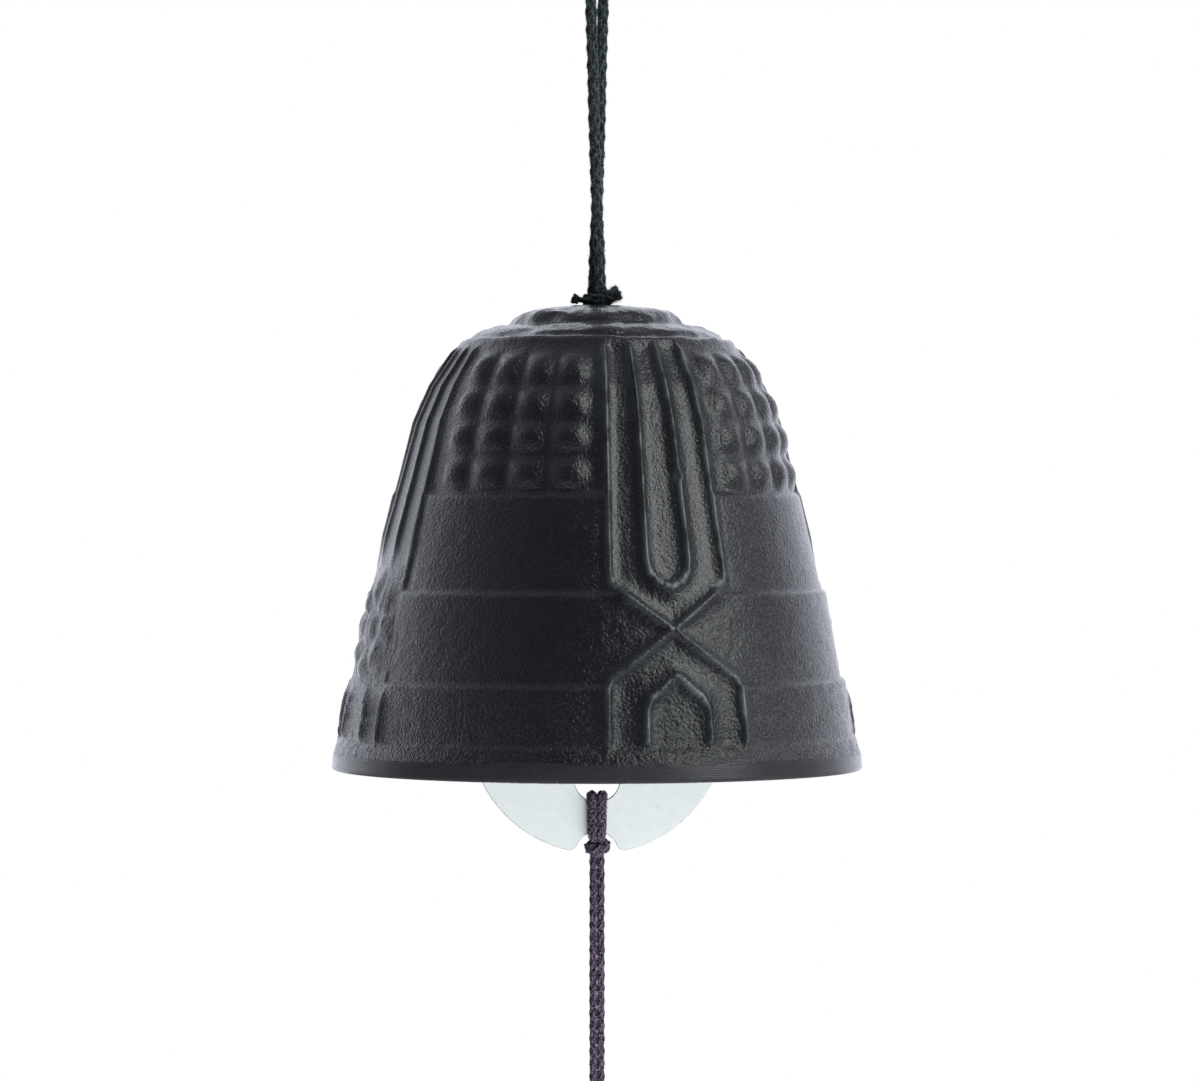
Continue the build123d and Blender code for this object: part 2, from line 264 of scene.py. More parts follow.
def plateMaterial(name, look):
    material, tree, coords = startMaterial(name)
    clouds = addNode(
        tree, "ShaderNodeTexNoise", {"Vector": coords, "Scale": 1 / (look["cloudSize"] * mm), "Detail": 4.0}
    )
    tones = {0: clouds, 6: hexColour(look["dark"]), 7: hexColour(look["pale"])}
    tone = addNode(tree, "ShaderNodeMix", tones, data_type="RGBA")
    slant = addNode(
        tree,
        "ShaderNodeMapping",
        {"Vector": coords, "Rotation": (0.0, look["scratchTurn"], 0.0), "Scale": (look["scratchStretch"], 1.0, 1.0)},
        vector_type="TEXTURE",
    )
    lines = addNode(
        tree, "ShaderNodeTexNoise", {"Vector": slant, "Scale": 1 / (look["scratchWidth"] * mm), "Detail": 1.0}
    )
    thin = addNode(
        tree, "ShaderNodeMapRange", {"Value": lines, "From Min": 0.74, "From Max": 0.8, "To Max": 0.3}
    )
    marks = {0: thin, 6: tone.outputs[2], 7: hexColour(look["scratch"])}
    marked = addNode(tree, "ShaderNodeMix", marks, data_type="RGBA")
    stretch = addNode(tree, "ShaderNodeMapping", {"Vector": coords, "Scale": (look["rollStretch"], 1.0, 1.0)})
    rolling = addNode(
        tree, "ShaderNodeTexNoise", {"Vector": stretch, "Scale": 1 / (look["rollSize"] * mm), "Detail": 2.0}
    )
    bump = addNode(
        tree, "ShaderNodeBump", {"Height": rolling, "Distance": look["rollDepth"] * mm, "Strength": 0.6}
    )
    rough = addNode(tree, "ShaderNodeMapRange", {"Value": clouds, "To Min": 0.42, "To Max": 0.6})
    endMaterial(tree, {"Base Color": marked.outputs[2], "Metallic": 0.08, "Roughness": rough, "Normal": bump})
    return material


# Handmade paper: warm white, long pale fibres, soft uneven surface
paperLook = {
    "pale": "#e8dfcb",
    "dark": "#d9ceb6",
    "cloudSize": 6.0,
    "fibreWidth": 0.5,
    "fibreStretch": 4.5,
    "fibreDepth": 0.05,
}


def paperMaterial(look):
    material, tree, coords = startMaterial("handmadePaper")
    clouds = addNode(
        tree, "ShaderNodeTexNoise", {"Vector": coords, "Scale": 1 / (look["cloudSize"] * mm), "Detail": 4.0}
    )
    stretch = addNode(tree, "ShaderNodeMapping", {"Vector": coords, "Scale": (1.0, 1.0, 1 / look["fibreStretch"])})
    fibres = addNode(
        tree,
        "ShaderNodeTexNoise",
        {"Vector": stretch, "Scale": 1 / (look["fibreWidth"] * mm), "Detail": 2.0, "Distortion": 1.2},
    )
    marks = addNode(tree, "ShaderNodeMath", {0: clouds, 1: fibres}, operation="MULTIPLY")
    tones = {0: marks, 6: hexColour(look["pale"]), 7: hexColour(look["dark"])}
    tone = addNode(tree, "ShaderNodeMix", tones, data_type="RGBA")
    bump = addNode(
        tree, "ShaderNodeBump", {"Height": fibres, "Distance": look["fibreDepth"] * mm, "Strength": 0.7}
    )
    endMaterial(
        tree, {"Base Color": tone.outputs[2], "Roughness": 0.85, "Specular IOR Level": 0.25, "Normal": bump}
    )
    return material


castIron = ironMaterial("sandCastIron", ironLook)
lipIron = ironMaterial("turnedIron", lipLook)
# single fibres are too fine to show, so the specks are drawn as small tufts
blackYarn = cordMaterial("blackBraid", "#05090c", "#374349", 0.3)
plumYarn = cordMaterial("plumBraid", "#140c14", "#73627a", 0.26)
plateMetal = plateMaterial("pickledAluminium", plateLook)
plateEdge = plateMaterial("shearedAluminium", edgeLook)
stripPaper = paperMaterial(paperLook)
print("materials made")


# A braid round a route: half of the yarns run one way round and half the other, over and under, with loose fibres
def braidNodes():
    tree, given = startNodes(
        "braidedCord",
        {
            "Route": "Geometry",
            "Step": "Float",
            "Pairs": "Int",
            "Pitch": "Float",
            "Core Radius": "Float",
            "Weave": "Float",
            "Yarn Radius": "Float",
            "Fibres": "Float",
            "Fibre Length": "Float",
            "Fibre Share": "Float",
            "Seed": "Int",
            "Material": "Material",
        },
    )
    evenly = addNode(
        tree, "GeometryNodeResampleCurve", {"Curve": given["Route"], "Length": given["Step"]}, mode="LENGTH"
    )
    yarnCount = addNode(tree, "ShaderNodeMath", {0: given["Pairs"], 1: 2.0}, operation="MULTIPLY")
    yarns = addNode(
        tree, "GeometryNodeDuplicateElements", {"Geometry": evenly, "Amount": yarnCount}, domain="SPLINE"
    )
    # odd yarns run the other way round
    index = yarns.outputs["Duplicate Index"]
    odd = addNode(tree, "ShaderNodeMath", {0: index, 1: 2.0}, operation="MODULO")
    way = addNode(tree, "ShaderNodeMath", {0: odd, 1: -2.0, 2: 1.0}, operation="MULTIPLY_ADD")
    half = addNode(tree, "ShaderNodeMath", {0: index, 1: 2.0}, operation="DIVIDE")
    pair = addNode(tree, "ShaderNodeMath", {0: half}, operation="FLOOR")
    share = addNode(tree, "ShaderNodeMath", {0: pair, 1: given["Pairs"]}, operation="DIVIDE")
    start = addNode(tree, "ShaderNodeMath", {0: share, 1: math.tau}, operation="MULTIPLY")
    along = addNode(tree, "GeometryNodeSplineParameter").outputs["Length"]
    turns = addNode(tree, "ShaderNodeMath", {0: along, 1: given["Pitch"]}, operation="DIVIDE")
    wound = addNode(tree, "ShaderNodeMath", {0: turns, 1: math.tau}, operation="MULTIPLY")
    angle = addNode(tree, "ShaderNodeMath", {0: wound, 1: way, 2: start}, operation="MULTIPLY_ADD")
    crossing = addNode(tree, "ShaderNodeMath", {0: wound, 1: given["Pairs"]}, operation="MULTIPLY")
    overUnder = addNode(tree, "ShaderNodeMath", {0: crossing}, operation="COSINE")
    signed = addNode(tree, "ShaderNodeMath", {0: overUnder, 1: way}, operation="MULTIPLY")
    lift = {0: signed, 1: given["Weave"], 2: given["Core Radius"]}
    radius = addNode(tree, "ShaderNodeMath", lift, operation="MULTIPLY_ADD")
    normal = addNode(tree, "GeometryNodeInputNormal")
    tangent = addNode(tree, "GeometryNodeInputTangent")
    sideways = addNode(tree, "ShaderNodeVectorMath", {0: tangent, 1: normal}, operation="CROSS_PRODUCT")
    cosine = addNode(tree, "ShaderNodeMath", {0: angle}, operation="COSINE")
    sine = addNode(tree, "ShaderNodeMath", {0: angle}, operation="SINE")
    acrossOne = addNode(tree, "ShaderNodeVectorMath", {0: normal, "Scale": cosine}, operation="SCALE")
    acrossTwo = addNode(tree, "ShaderNodeVectorMath", {0: sideways, "Scale": sine}, operation="SCALE")
    outward = addNode(tree, "ShaderNodeVectorMath", {0: acrossOne, 1: acrossTwo}, operation="ADD")
    offset = addNode(tree, "ShaderNodeVectorMath", {0: outward, "Scale": radius}, operation="SCALE")
    wrapped = addNode(tree, "GeometryNodeSetPosition", {"Geometry": yarns, "Offset": offset})
    section = addNode(
        tree, "GeometryNodeCurvePrimitiveCircle", {"Resolution": 6, "Radius": given["Yarn Radius"]}, mode="RADIUS"
    )
    braid = addNode(
        tree, "GeometryNodeCurveToMesh", {"Curve": wrapped, "Profile Curve": section, "Fill Caps": True}
    )
    # a plain core fills the braid
    coreSection = addNode(
        tree, "GeometryNodeCurvePrimitiveCircle", {"Resolution": 10, "Radius": given["Core Radius"]}, mode="RADIUS"
    )
    core = addNode(
        tree, "GeometryNodeCurveToMesh", {"Curve": evenly, "Profile Curve": coreSection, "Fill Caps": True}
    )
    # loose fibres stand out of the yarns at random
    places = addNode(
        tree,
        "GeometryNodeDistributePointsOnFaces",
        {"Mesh": braid, "Density": given["Fibres"], "Seed": given["Seed"]},
        distribute_method="RANDOM",
    )
    stray = addNode(
        tree,
        "FunctionNodeRandomValue",
        {"Min": (-1.0, -1.0, -1.0), "Max": (1.0, 1.0, 1.0), "Seed": given["Seed"]},
        data_type="FLOAT_VECTOR",
    )
    leaning = addNode(tree, "ShaderNodeVectorMath", {0: places.outputs["Normal"], 1: stray}, operation="ADD")
    turned = addNode(tree, "FunctionNodeAlignRotationToVector", {"Vector": leaning}, axis="Z")
    fibreWidth = addNode(
        tree, "ShaderNodeMath", {0: given["Yarn Radius"], 1: given["Fibre Share"]}, operation="MULTIPLY"
    )
    fibre = addNode(
        tree,
        "GeometryNodeMeshCone",
        {"Vertices": 3, "Radius Bottom": fibreWidth, "Radius Top": 0.0, "Depth": given["Fibre Length"]},
        fill_type="NONE",
    )
    # inputs 2 and 3 are the shortest and the longest share of a fibre
    lengths = addNode(tree, "FunctionNodeRandomValue", {2: 0.3, 3: 1.0, "Seed": given["Seed"]}, data_type="FLOAT")
    hairs = addNode(
        tree,
        "GeometryNodeInstanceOnPoints",
        {"Points": places, "Instance": fibre, "Rotation": turned, "Scale": lengths.outputs[1]},
    )
    joined = addNode(tree, "GeometryNodeJoinGeometry", {"Geometry": braid})
    for more in (core, hairs):
        tree.links.new(more.outputs[0], joined.inputs["Geometry"])
    endNodes(tree, joined, given["Material"])
    return tree


braidTree = braidNodes()


def routeCurve(name, points):
    curve = bpy.data.curves.new(name, "CURVE")
    curve.dimensions = "3D"
    spline = curve.splines.new("NURBS")
    spline.points.add(len(points) - 1)
    for place, point in zip(spline.points, points):
        place.co = (*(value * mm for value in point), 1.0)
    spline.order_u = 3
    spline.use_endpoint_u = True
    spline.resolution_u = 16
    return newObject(name, curve)


def braidMesh(name, points, cord, seed=1):
    route = routeCurve(name, points)
    line = [vertex.co.copy() for vertex in plainMesh(route).vertices]
    inputs = {
        "Step": cord["step"] * mm,
        "Pairs": cord["pairs"],
        "Pitch": cord["pitch"] * mm,
        "Core Radius": cord["core"] * mm,
        "Weave": cord["weave"] * mm,
        "Yarn Radius": cord["yarn"] * mm,
        "Fibres": cord["fibres"] / (mm * mm),
        "Fibre Length": cord["fibreLength"] * mm,
        "Fibre Share": cord["fibreShare"],
        "Seed": seed,
        "Material": cord["material"],
    }
    return growMesh(name, route, braidTree, inputs), line


def lineLength(line):
    return sum((after - before).length for before, after in zip(line, line[1:]))


# Black hanging cord, doubled: one route up from the crown knot, round the hook's arc and down again.
# The two strands turn about each other by a third of a turn on the way.
blackCord = {
    "diameter": 1.5,
    "step": 0.2,
    "pairs": 4,
    "pitch": 9.0,
    "core": 0.48,
    "weave": 0.08,
    "yarn": 0.23,
    "fibres": 22.0,
    "fibreLength": 0.38,
    "fibreShare": 0.09,
    "material": blackYarn,
}
risingStrand = [
    (0.38, -0.7, -49.3),
    (0.4, -0.7, -45.5),
    (-0.02, -0.78, -37.7),
    (-0.34, -0.72, -28.5),
    (-0.54, -0.56, -19.5),
    (-0.72, -0.3, -14.0),
    (-0.8, 0.0, -10.5),
    (-2.9, 0.0, -7.6),
    (-3.75, 0.0, -4.0),
    (-3.4, 0.0, -0.6),
    (-1.5, 0.0, 0.75),
]
hangingPoints = risingStrand + [(-x, -y, z) for x, y, z in reversed(risingStrand)]
hangingMesh, hangingLine = braidMesh("hangingCord", hangingPoints, blackCord, seed=3)
hangingPiece = placeMesh("hangingCord", hangingMesh, "hanger", "black_cord", "hanging_cord")
print("hanging cord", round(lineLength(hangingLine) / mm, 1), "mm,", len(hangingMesh.polygons), "faces")

# Plum cord strands, side by side, from the stop knot to the plate and from the plate to the strip
plumCord = {
    "diameter": 0.93,
    "step": 0.15,
    "pairs": 4,
    "pitch": 6.4,
    "core": 0.33,
    "weave": 0.055,
    "yarn": 0.16,
    "fibres": 14.0,
    "fibreLength": 0.18,
    "fibreShare": 0.09,
    "material": plumYarn,
}
plumOffset = 0.455
strandTuck = 1.2
# how far a strand strays outwards and backwards, from its top to its foot
strandSway = [(0.0, 0.0), (0.0, 0.04), (0.02, -0.05), (0.0, 0.05), (0.0, 0.0)]


def plumStrand(name, side, body, node):
    low, high = (corner.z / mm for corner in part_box(node))
    top, foot = high + strandTuck, low - strandTuck
    step = (top - foot) / (len(strandSway) - 1)
    points = [
        (side * (plumOffset + out), side * back, top - number * step)
        for number, (out, back) in enumerate(strandSway)
    ]
    mesh, line = braidMesh(name, points, plumCord, seed=5 + side)
    piece = placeMesh(name, mesh, body, "plum_cord", node)
    print(name, round(lineLength(line) / mm, 1), "mm")


for side, word in ((-1, "Left"), (1, "Right")):
    plumStrand("clapperCord" + word, side, "clapper_line", "clapper_cord")
    plumStrand("stripCord" + word, side, "strip_line", "strip_cord")


# An overhand knot drawn tight, as a trefoil of cord
def trefoilPoints(node, spread, height, count=27):
    low, high = (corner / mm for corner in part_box(node))
    middle = (low + high) / 2
    points = []
    for number in range(count):
        turn = math.tau * number / (count - 1)
        x = (math.sin(turn) + 2 * math.sin(2 * turn)) / 3
        y = (math.cos(turn) - 2 * math.cos(2 * turn)) / 3
        points.append((middle.x + spread * x, middle.y + spread * y, middle.z - height * math.sin(3 * turn)))
    return points


# Crown knot: the cord crosses in front and behind the strands, and its two cut tails lie to the left and right.
# Heights are above the crown.
thinTail = dict(blackCord, core=0.24, yarn=0.14, weave=0.05, pitch=6.0)
tailBulb = dict(blackCord, core=0.42, yarn=0.2, weave=0.06, pitch=4.0, fibres=40.0)
brushTail = dict(blackCord, core=0.62, yarn=0.26, weave=0.1, pitch=8.0, fibres=60.0, fibreLength=0.6)
crownKnotRoutes = [
    (thinTail, [(-2.95, -0.5, 0.85), (-2.2, -0.65, 0.7), (-1.3, -1.0, 0.7), (-0.2, -1.3, 0.75)]),
    (tailBulb, [(-3.05, -0.45, 0.95), (-2.75, -0.5, 0.8), (-2.45, -0.58, 0.72)]),
    (blackCord, [(-1.0, -0.9, 0.75), (-0.3, -1.35, 0.8), (0.7, -1.25, 0.8), (1.5, -0.7, 0.95), (1.9, -0.3, 1.2)]),
    (brushTail, [(1.0, -1.0, 0.95), (1.7, -0.6, 1.15), (2.25, -0.35, 1.45), (2.75, -0.25, 1.7)]),
    (
        blackCord,
        [(-1.6, 0.3, 0.75), (-1.0, 1.1, 0.8), (0.3, 1.3, 0.85), (1.3, 0.8, 0.8), (1.5, -0.2, 0.75), (0.7, -0.9, 0.75)],
    ),
    (blackCord, [(0.4, -0.7, 3.0), (0.5, -0.5, 1.6), (0.75, 0.0, 0.4), (0.75, 0.0, -2.0), (0.75, 0.0, -4.4)]),
    (blackCord, [(-0.4, 0.7, 3.0), (-0.5, 0.5, 1.6), (-0.75, 0.0, 0.4), (-0.75, 0.0, -2.0), (-0.75, 0.0, -4.4)]),
]
knotMeshes = []
for number, (cord, route) in enumerate(crownKnotRoutes):
    lifted = [(x, y, crownZ / mm + z) for x, y, z in route]
    knotMeshes.append(braidMesh("crownKnot", lifted, cord, seed=20 + number)[0])
placeMesh("crownKnot", joinMeshes("crownKnot", knotMeshes), "bell", "black_cord", "crown_knot")

stopMesh, _ = braidMesh("stopKnot", trefoilPoints("stop_knot", spread=1.85, height=0.45), blackCord, seed=31)
placeMesh("stopKnot", stopMesh, "bell", "black_cord", "stop_knot")

# Two turns of plum cord round the plate's web, spread a little by the pull, and the hitch across the notch
wrapCord = dict(plumCord, pairs=5, core=0.46, yarn=0.17, weave=0.08, pitch=5.5, fibres=30.0, fibreLength=0.28)
hitchCord = dict(plumCord, core=0.58, yarn=0.19, weave=0.09, pitch=4.5, fibres=16.0)
wrapOffset = 0.56
# one turn: share of the offset, share of the depth to the front (negative) or back, share of the way across the web
wrapRoute = [
    (0.5, 0.4, 0.0),
    (0.8, -0.9, 0.0),
    (1.0, -1.0, 0.25),
    (1.05, -1.0, 0.75),
    (1.2, -1.0, 1.0),
    (1.2, 1.0, 1.0),
    (1.0, 1.0, 0.5),
    (0.8, 0.9, 0.0),
    (0.5, -0.4, 0.0),
]
# the hitch, from the middle of its solid
hitchRoute = [
    (0.5, 0.45, 0.35),
    (-0.7, 0.5, 0.3),
    (-0.98, 0.1, 0.22),
    (-0.8, -0.45, 0.05),
    (0.0, -0.62, -0.12),
    (0.75, -0.5, 0.1),
    (1.02, -0.1, 0.5),
    (0.8, 0.4, 0.8),
    (-0.3, 0.5, 0.6),
]


def wrapMesh(name, node, side):
    low, high = (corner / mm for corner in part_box(node))
    inset = plumCord["diameter"] / 2
    front, back = low.y + inset, high.y - inset
    near, far = (high.z - inset, low.z + inset) if side < 0 else (low.z + inset, high.z - inset)
    meshes = []
    for strand in (-1, 1):
        points = [
            (strand * wrapOffset * over, depth * back if depth > 0 else -depth * front, far + (near - far) * up)
            for over, depth, up in wrapRoute
        ]
        meshes.append(braidMesh(name, points, wrapCord, seed=40 + strand)[0])
    return joinMeshes(name, meshes)


def hitchMesh(name, node):
    low, high = (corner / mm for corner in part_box(node))
    middle = (low + high) / 2
    points = [(middle.x + x, middle.y + y, middle.z + z) for x, y, z in hitchRoute]
    return braidMesh(name, points, hitchCord, seed=50)[0]


for word, side in (("upper", 1), ("lower", -1)):
    wrap = wrapMesh(word + "Wrap", word + "_wrap", side)
    placeMesh(word + "Wrap", wrap, "clapper", "plum_cord", word + "_wrap")
    placeMesh(word + "Hitch", hitchMesh(word + "Hitch", word + "_hitch"), "clapper", "plum_cord", word + "_hitch")

knotMesh, _ = braidMesh("stripKnot", trefoilPoints("strip_knot", spread=0.85, height=0.55), plumCord, seed=61)
placeMesh("stripKnot", knotMesh, "strip", "plum_cord", "strip_knot")

# Loop through the strip's hole: down in front, up behind, with both ends tucked into the knot
loop = {"tuck": 1.0, "shoulder": 0.6, "bend": 2.0}
loopLow, loopHigh = (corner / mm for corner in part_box("strip_loop"))
loopInset = plumCord["diameter"] / 2
loopSide = [
    (0.5, loopHigh.z + loop["tuck"]),
    (1.0, loopHigh.z - loop["shoulder"]),
    (1.0, loopLow.z + loop["bend"]),
    (1.0, loopLow.z + loopInset),
]
loopPoints = [(0.0, share * (loopLow.y + loopInset), z) for share, z in loopSide]
loopPoints += [(0.0, share * (loopHigh.y - loopInset), z) for share, z in reversed(loopSide)]
loopMesh, _ = braidMesh("stripLoop", loopPoints, plumCord, seed=62)
placeMesh("stripLoop", loopMesh, "strip", "plum_cord", "strip_loop")
print("cords and knots made")


# The casting: a section turned round the axis, with ribs, panels and bosses standing out of it.
# Lengths in mm, turns in degrees. Four heights are where a zone begins and is full, begins to end and is over.
bell = {
    "lipHeight": 2.2,
    "lipWander": 0.16,
    "lipCells": 120,
    "lipEase": 0.2,
    "bandTurn": 18.0,
    "bandReach": 19.0,
    "bandSteps": [
        (-19.0, 0.7), (-16.6, 0.22), (-13.9, 0.55), (-8.1, 0.22), (-4.4, 0.5),
        (4.4, 0.22), (8.1, 0.55), (13.9, 0.22), (16.6, 0.7),
    ],
    "fieldColumns": 36,
    "sideZone": (3.4, 4.8, 52.4, 53.8),
    "footHeight": 0.42,
    "footWidth": 0.98,
    "crestHeight": 0.4,
    "crestWidth": 0.26,
    "wearAndHighlightWidth": 0.25,
    "slantZone": (11.0, 13.5, 22.5, 25.0),
    "slantWearAndHighlight": 0.35,
    "groundDrop": 0.25,
    "groundEase": 0.5,
    "sideRib": {"footHeight": 0.34, "footWidth": 0.98, "crestHeight": 0.24, "crestWidth": 0.46},
    "seatZone": (8.0, 12.5, 24.0, 30.0),
    "drop": {"turn": 5.6, "up": 36.7, "size": 0.6, "height": 0.55},
    "panelStep": 0.2,
    "panelEdge": 17.2,
    "panelEase": (-0.3, 0.7),
    "panelZone": (22.5, 24.2, 33.6, 35.4),
    "bossHeight": 0.92,
    "bossWidth": 12.7,
    "bossRise": 4.5,
    "bossPower": 3,
    "bossDome": 0.8,
    "bossRows": [37.2, 41.6, 45.9, 50.1],
    "bossColumns": [-18.7, -6.2, 6.2, 18.7],
    "crownZone": (53.4, 54.4, 57.9, 58.4),
    "ledgeZone": (54.4, 55.2, 57.0, 57.7),
    "ledgeWaves": [(0.3, 3, 1.0), (0.2, 7, 2.1), (0.13, 13, 0.0)],
    "wrinkles": [(1.3, 30, 0.16), (0.65, 84, 0.07)],
    "seed": 7,
    "panelSand": 1.25,
    "bandSand": 0.9,
    "bandSandFrom": (0.15, 0.45),
    "sideSand": 0.45,
    "sideSandFrom": (22.0, 30.0),
    "seatSand": 1.8,
    "lowSand": 0.7,
    "lowSandTo": (4.0, 20.0),
    "crownSand": 0.8,
    "crownSandFrom": (53.2, 54.6),
    "insideSand": 0.5,
    "lumpSize": 1.5,
    "lumpHeight": 0.12,
    "grainSize": 0.7,
    "grainHeight": 0.09,
}

# outside of the section from the rim up: radius, height above the rim, rows to the next point
outerSection = [
    (32.9, 0.0, 1), (33.3, 0.05, 1), (33.5, 0.25, 4), (33.42, 1.75, 1), (33.38, 2.02, 1), (33.28, 2.22, 1),
    (33.18, 2.45, 4), (32.78, 3.75, 1), (32.68, 4.05, 1), (32.45, 4.3, 1), (32.3, 4.6, 14),
    (31.45, 10.9, 1), (31.35, 11.25, 1), (31.1, 11.5, 1), (30.75, 11.75, 1), (30.7, 12.2, 25),
    (29.0, 21.95, 1), (28.9, 22.35, 1), (28.65, 22.62, 1), (28.25, 22.9, 1), (28.15, 23.4, 18),
    (25.7, 34.05, 1), (25.55, 34.42, 1), (25.3, 34.7, 1), (24.9, 35.0, 1), (24.75, 35.4, 16),
    (22.9, 43.7, 9), (20.9, 48.2, 7), (18.9, 51.4, 4), (17.55, 53.3, 1), (17.35, 53.75, 1),
    (17.1, 54.05, 1), (16.75, 54.2, 1), (16.3, 54.25, 1), (16.0, 54.32, 1), (15.8, 54.55, 2),
    (15.4, 54.92, 2), (14.7, 55.3, 3), (13.6, 55.68, 3), (12.5, 55.92, 3), (11.5, 56.02, 1),
    (11.0, 56.1, 1), (10.75, 56.35, 2), (10.5, 56.75, 2), (10.15, 57.2, 2), (9.7, 57.52, 2), (8.8, 57.85, 4),
    (7.0, 58.2, 5), (3.6, 58.58, 2), (2.2, 58.6, 1), (1.9, 58.35, 1),
]
innerSection = [
    (1.9, 54.2, 1), (2.2, 54.0, 1), (10.6, 54.0, 1), (11.6, 53.7, 1), (18.0, 48.2, 2),
    (22.1, 35.0, 2), (25.5, 22.8, 2), (30.2, 2.0, 1), (30.6, 0.4, 1), (30.9, 0.0, 1),
]
skinSection = [(32.5, 4.0), (31.3, 11.3), (28.9, 22.4), (25.5, 34.4), (22.9, 43.7), (20.9, 48.2), (17.2, 53.7)]

# lines of a band's ribs as degrees from its middle and mm above the rim, right half only
ribs = {
    "loop": [(15.0, 52.8), (14.9, 24.3), (14.2, 23.7), (0.0, 18.3)],
    "tongue": [(5.2, 52.6), (5.5, 26.6), (5.0, 25.3), (3.2, 24.0), (0.0, 23.2)],
    "arch": [(0.0, 18.3), (14.6, 12.4), (15.4, 11.4), (15.5, 4.7)],
    "panel": [(0.0, 12.7), (1.6, 12.1), (5.9, 10.2), (7.0, 8.8), (7.1, 4.9)],
}
sideRibs = {
    "loop": [(15.0, 52.8), (14.9, 27.0), (14.0, 25.8)],
    "tongue": [(5.2, 52.6), (5.5, 27.4), (4.4, 26.4)],
    "arch": [(13.0, 11.6), (15.2, 9.6), (15.5, 4.7)],
    "panel": [(5.0, 10.6), (7.2, 8.4), (7.1, 4.9)],
}
degreeWidth = 0.49   # mm across for one degree, at the middle of the side

# two opposite bands carry a lotus seat, where a temple bell is struck
lotus = {
    "middle": 18.2,
    "radius": 6.9,
    "ringShare": 0.66,
    "ringWidth": 0.27,
    "petals": 8,
    "petalPower": 0.7,
    "petalDepth": 0.7,
    "height": 0.62,
    "heart": 2.2,
    "heartHeight": 0.8,
    "uneven": 0.15,
    "waves": (1.9, 0.8, 1.3, 0.7),
}


def smoothStep(low, high, value):
    share = np.clip((value - low) / (high - low), 0.0, 1.0)
    return share * share * (3 - 2 * share)


def inZone(zone, value):
    return smoothStep(*zone[:2], value) * (1 - smoothStep(*zone[2:], value))


def hump(distance, width):
    return np.exp(-((distance / width) ** 2))


# distance to a line of ribs and its mirror image
def ribDistance(half, across, up):
    nearest = np.full(across.shape, np.inf)
    for (x0, z0), (x1, z1) in zip(half, half[1:]):
        dx, dz = x1 - x0, z1 - z0
        share = np.clip(((np.abs(across) - x0) * dx + (up - z0) * dz) / (dx * dx + dz * dz), 0.0, 1.0)
        nearest = np.minimum(nearest, np.hypot(np.abs(across) - x0 - share * dx, up - z0 - share * dz))
    return nearest


def lotusRise(across, up):
    distance = np.hypot(across, up - lotus["middle"])
    angle = np.arctan2(across, up - lotus["middle"])
    petal = np.abs(np.cos(angle * lotus["petals"] / 2)) ** lotus["petalPower"]
    ring = hump(distance - lotus["ringShare"] * lotus["radius"], lotus["ringWidth"] * lotus["radius"])
    heart = np.exp(-((distance / lotus["heart"]) ** 4))
    one, two, three, four = lotus["waves"]
    uneven = 1 + lotus["uneven"] * np.sin(one * across + two * up) * np.cos(three * up - four * across)
    petals = ring * (1 - lotus["petalDepth"] + lotus["petalDepth"] * petal)
    return lotus["height"] * uneven * np.maximum(petals, lotus["heartHeight"] * heart)


# rise of the ribs, how far a place lies on the band's smooth ground, and the pale crest colour, part wear and part
# painted highlight
def bandRise(turn, up, sizes, sideBand):
    across = turn * degreeWidth
    lines, shape = (sideRibs, sizes["sideRib"]) if sideBand else (ribs, sizes)
    rise, wear = np.zeros(turn.shape), np.zeros(turn.shape)
    for line in lines.values():
        distance = ribDistance([(x * degreeWidth, z) for x, z in line], across, up)
        # a broad foot and a narrow crest, so the ground between two ribs looks dished
        foot, crest = hump(distance, shape["footWidth"]), hump(distance, shape["crestWidth"])
        rise = np.maximum(rise, shape["footHeight"] * foot + shape["crestHeight"] * crest)
        # a strip along each crest takes the pale crest colour: part wear, part painted highlight
        wear = np.maximum(wear, hump(distance, sizes["wearAndHighlightWidth"]))
    inside = ribs["loop"][0][0] * degreeWidth - np.abs(across)
    if sideBand:
        # these ribs die out towards the lotus
        fade = 1 - inZone(sizes["seatZone"], up)
        rise, wear = np.maximum(rise * fade, lotusRise(across, up)), wear * fade
    else:
        # the ground is smooth inside the loop and the arch, and the tiers go on between them
        (_, crossing), (elbow, elbowUp) = ribs["arch"][:2]
        slope = (crossing - elbowUp) / (elbow * degreeWidth)
        inside = np.minimum(inside, np.abs(up - crossing) - slope * np.abs(across))
        # the slanting ribs lie lower and get less of the pale crest colour (part wear, part painted highlight)
        wear = wear * (1 - (1 - sizes["slantWearAndHighlight"]) * inZone(sizes["slantZone"], up))
    return rise, smoothStep(-sizes["groundEase"], sizes["groundEase"], inside), wear


# a boss is a full dome on a rounded square
def bossRise(field, up, sizes):
    rise, power = np.zeros(field.shape), sizes["bossPower"]
    for bossUp in sizes["bossRows"]:
        for bossTurn in sizes["bossColumns"]:
            x = np.abs(field - bossTurn) / (sizes["bossWidth"] / 2)
            z = np.abs(up - bossUp) / (sizes["bossRise"] / 2)
            edge = np.clip((x ** power + z ** power) ** (1 / power), 0, 1)
            soft = (1 + np.cos(math.pi * edge)) / 2
            dome = sizes["bossDome"] * (1 - edge ** 2) + (1 - sizes["bossDome"]) * soft
            rise = np.maximum(rise, sizes["bossHeight"] * dome)
    return rise


def sectionRows(section):
    rows = []
    for (r0, z0, count), (r1, z1, _) in zip(section, section[1:]):
        for number in range(count):
            rows.append((r0 + (r1 - r0) * number / count, z0 + (z1 - z0) * number / count))
    return rows


